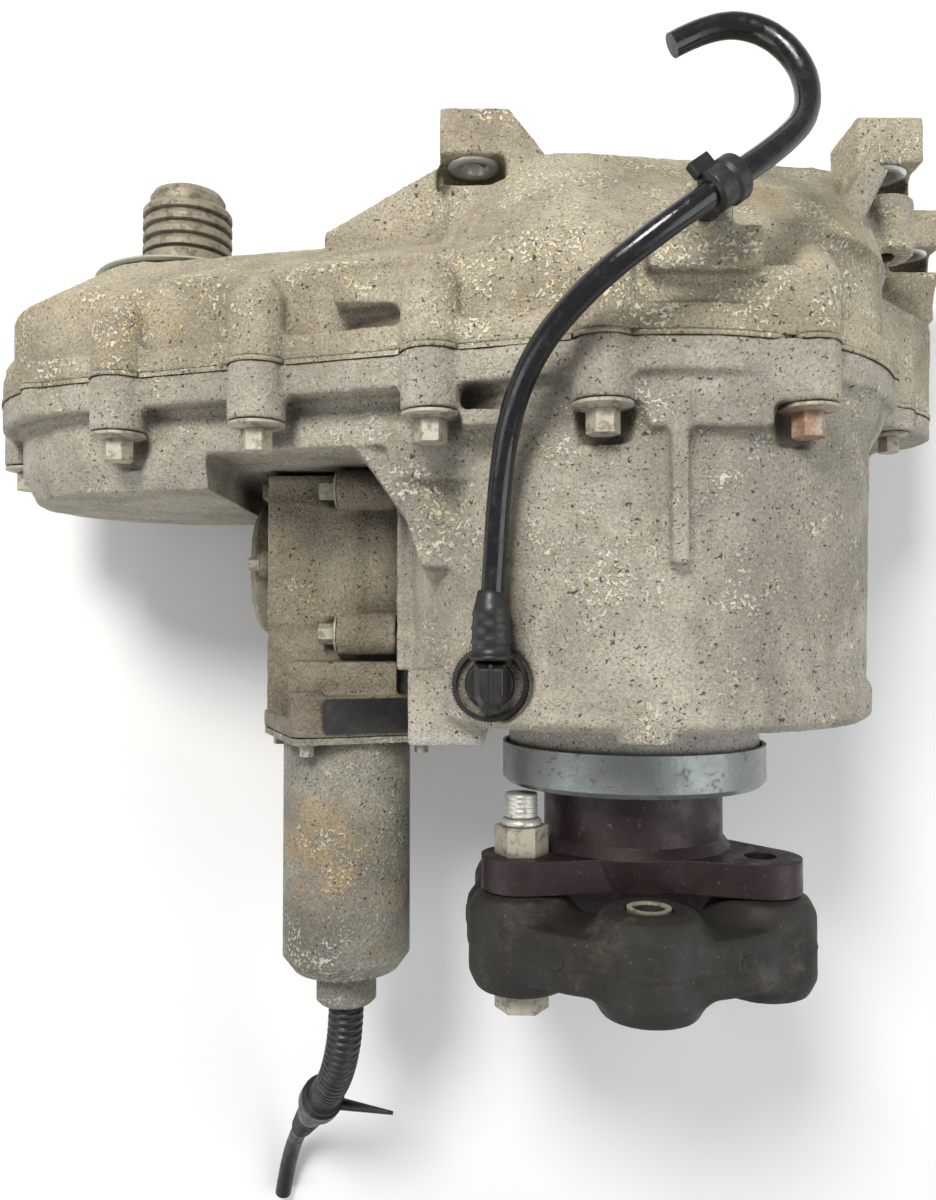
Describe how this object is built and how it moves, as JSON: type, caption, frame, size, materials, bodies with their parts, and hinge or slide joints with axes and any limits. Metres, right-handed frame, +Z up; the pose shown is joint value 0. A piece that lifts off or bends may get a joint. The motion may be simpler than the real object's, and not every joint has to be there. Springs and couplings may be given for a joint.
{
  "type": "transfer case",
  "caption": "Chain-driven four-wheel-drive transfer case with a clutch actuator motor, breather hose, front output stub and rear flange with a rubber coupling.",
  "frame": {"origin": "mouth of the pilot bore in the front case's face, on the main shaft's axis", "axes": "+Y along the main shaft towards the gearbox, +Z up as the case lies on its underside, +X away from the chain arm"},
  "size_m": [0.4275, 0.489, 0.2491],
  "materials": {
    "front_casting": "corroded casting",
    "rear_casting": "corroded casting",
    "actuator_casting": "dirty casting",
    "zinc_steel": "zinc plated, dulled",
    "shield_steel": "zinc plated, dulled",
    "flange_iron": "dark oxide",
    "motor_steel": "corroded coating",
    "stub_steel": "dull, light rust",
    "inner_steel": "machined",
    "bearing_steel": "ground",
    "sintered": "sintered",
    "bronze": "satin",
    "coupling_rubber": "dusty",
    "seal_rubber": "satin",
    "hose_nylon": "gloss black",
    "black_plastic": "matt black",
    "winding": "enamelled wire"
  },
  "bodies": {
    "case": {"front_case": "front_casting", "rear_case": "rear_casting", "case_bolts": "zinc_steel", "lobe_bolts": "zinc_steel", "dowels": "inner_steel", "oil_plugs": "zinc_steel", "input_seal": "seal_rubber", "front_bearing": "bearing_steel", "rear_bearing": "bearing_steel", "rear_seal": "seal_rubber", "output_front_bearing": "bearing_steel", "output_rear_bearing": "bearing_steel", "output_seal": "seal_rubber", "oil_pump_housing": "rear_casting", "oil_pump_cover": "rear_casting", "rear_thrust_bearing": "bearing_steel", "drive_chain": "inner_steel", "actuator_housing": "actuator_casting", "gear_cover": "actuator_casting", "cover_screws": "zinc_steel", "actuator_bolts": "zinc_steel", "motor_can": "motor_steel", "motor_end_cap": "motor_steel", "motor_screws": "zinc_steel", "breather_elbow": "black_plastic", "breather_ring": "black_plastic", "hose_clip": "black_plastic", "breather_hose": "hose_nylon", "wiring_conduit": "black_plastic", "conduit_sleeve": "black_plastic", "wiring_stub": "black_plastic"},
    "main_rotor": {"main_shaft": "inner_steel", "clutch_hub": "inner_steel", "friction_plates": "sintered", "return_spring": "bearing_steel", "pump_inner_rotor": "sintered", "output_flange": "flange_iron", "rear_dust_shield": "shield_steel", "flange_nut": "zinc_steel", "flex_disc": "coupling_rubber", "flex_sleeves": "zinc_steel", "flex_bolt": "zinc_steel", "flex_nut": "zinc_steel"},
    "clutch_drum": {"drive_sprocket": "sintered", "sprocket_bush": "bronze", "clutch_basket": "inner_steel", "steel_plates": "inner_steel"},
    "front_output": {"front_output_shaft": "stub_steel", "driven_sprocket": "sintered", "front_dust_shield": "shield_steel"},
    "pump_rotor": {"pump_outer_rotor": "sintered"},
    "cam_rotor": {"cam_shaft": "inner_steel", "worm_wheel": "bronze"},
    "motor_rotor": {"worm_shaft": "inner_steel", "motor_armature": "winding"},
    "ramp_rotor": {"turning_ramp_ring": "inner_steel", "ramp_balls": "bearing_steel"},
    "clutch_press": {"sliding_ramp_ring": "inner_steel", "front_thrust_bearing": "bearing_steel", "pressure_plate": "inner_steel"}
  },
  "joints": [
    {"name": "main_shaft_spin", "type": "hinge", "parent": "case", "child": "main_rotor", "pos_m": [0, 0, 0], "axis": [0, 1, 0], "continuous": true},
    {"name": "clutch_drum_spin", "type": "hinge", "parent": "case", "child": "clutch_drum", "pos_m": [0, 0, 0], "axis": [0, 1, 0], "continuous": true, "deforming": ["drive_chain"]},
    {"name": "front_output_spin", "type": "hinge", "parent": "case", "child": "front_output", "pos_m": [-0.1939, 0, -0.034], "axis": [0, 1, 0], "continuous": true, "deforming": ["drive_chain"]},
    {"name": "pump_rotor_spin", "type": "hinge", "parent": "case", "child": "pump_rotor", "pos_m": [0.0022, 0, 0], "axis": [0, 1, 0], "continuous": true},
    {"name": "cam_turn", "type": "hinge", "parent": "case", "child": "cam_rotor", "pos_m": [-0.1185, -0.146, -0.046], "axis": [1, 0, 0], "range_deg": [0, 100]},
    {"name": "worm_spin", "type": "hinge", "parent": "case", "child": "motor_rotor", "pos_m": [-0.1185, 0, -0.012], "axis": [0, 1, 0], "range_deg": [0, 3000]},
    {"name": "ramp_turn", "type": "hinge", "parent": "case", "child": "ramp_rotor", "pos_m": [0, 0, 0], "axis": [0, 1, 0], "range_deg": [0, 3.2]},
    {"name": "clutch_press_slide", "type": "slide", "parent": "case", "child": "clutch_press", "axis": [0, 1, 0], "range_m": [0, 0.001], "deforming": ["return_spring"]}
  ],
  "couplings": [
    {"joint": "front_output_spin", "follows": "clutch_drum_spin", "ratio": 1},
    {"joint": "pump_rotor_spin", "follows": "main_shaft_spin", "ratio": 0.85714},
    {"joint": "cam_turn", "follows": "ramp_turn", "ratio": 31.25},
    {"joint": "worm_spin", "follows": "ramp_turn", "ratio": 937.5},
    {"joint": "clutch_press_slide", "follows": "ramp_turn", "m_per_rad": 0.0179}
  ]
}
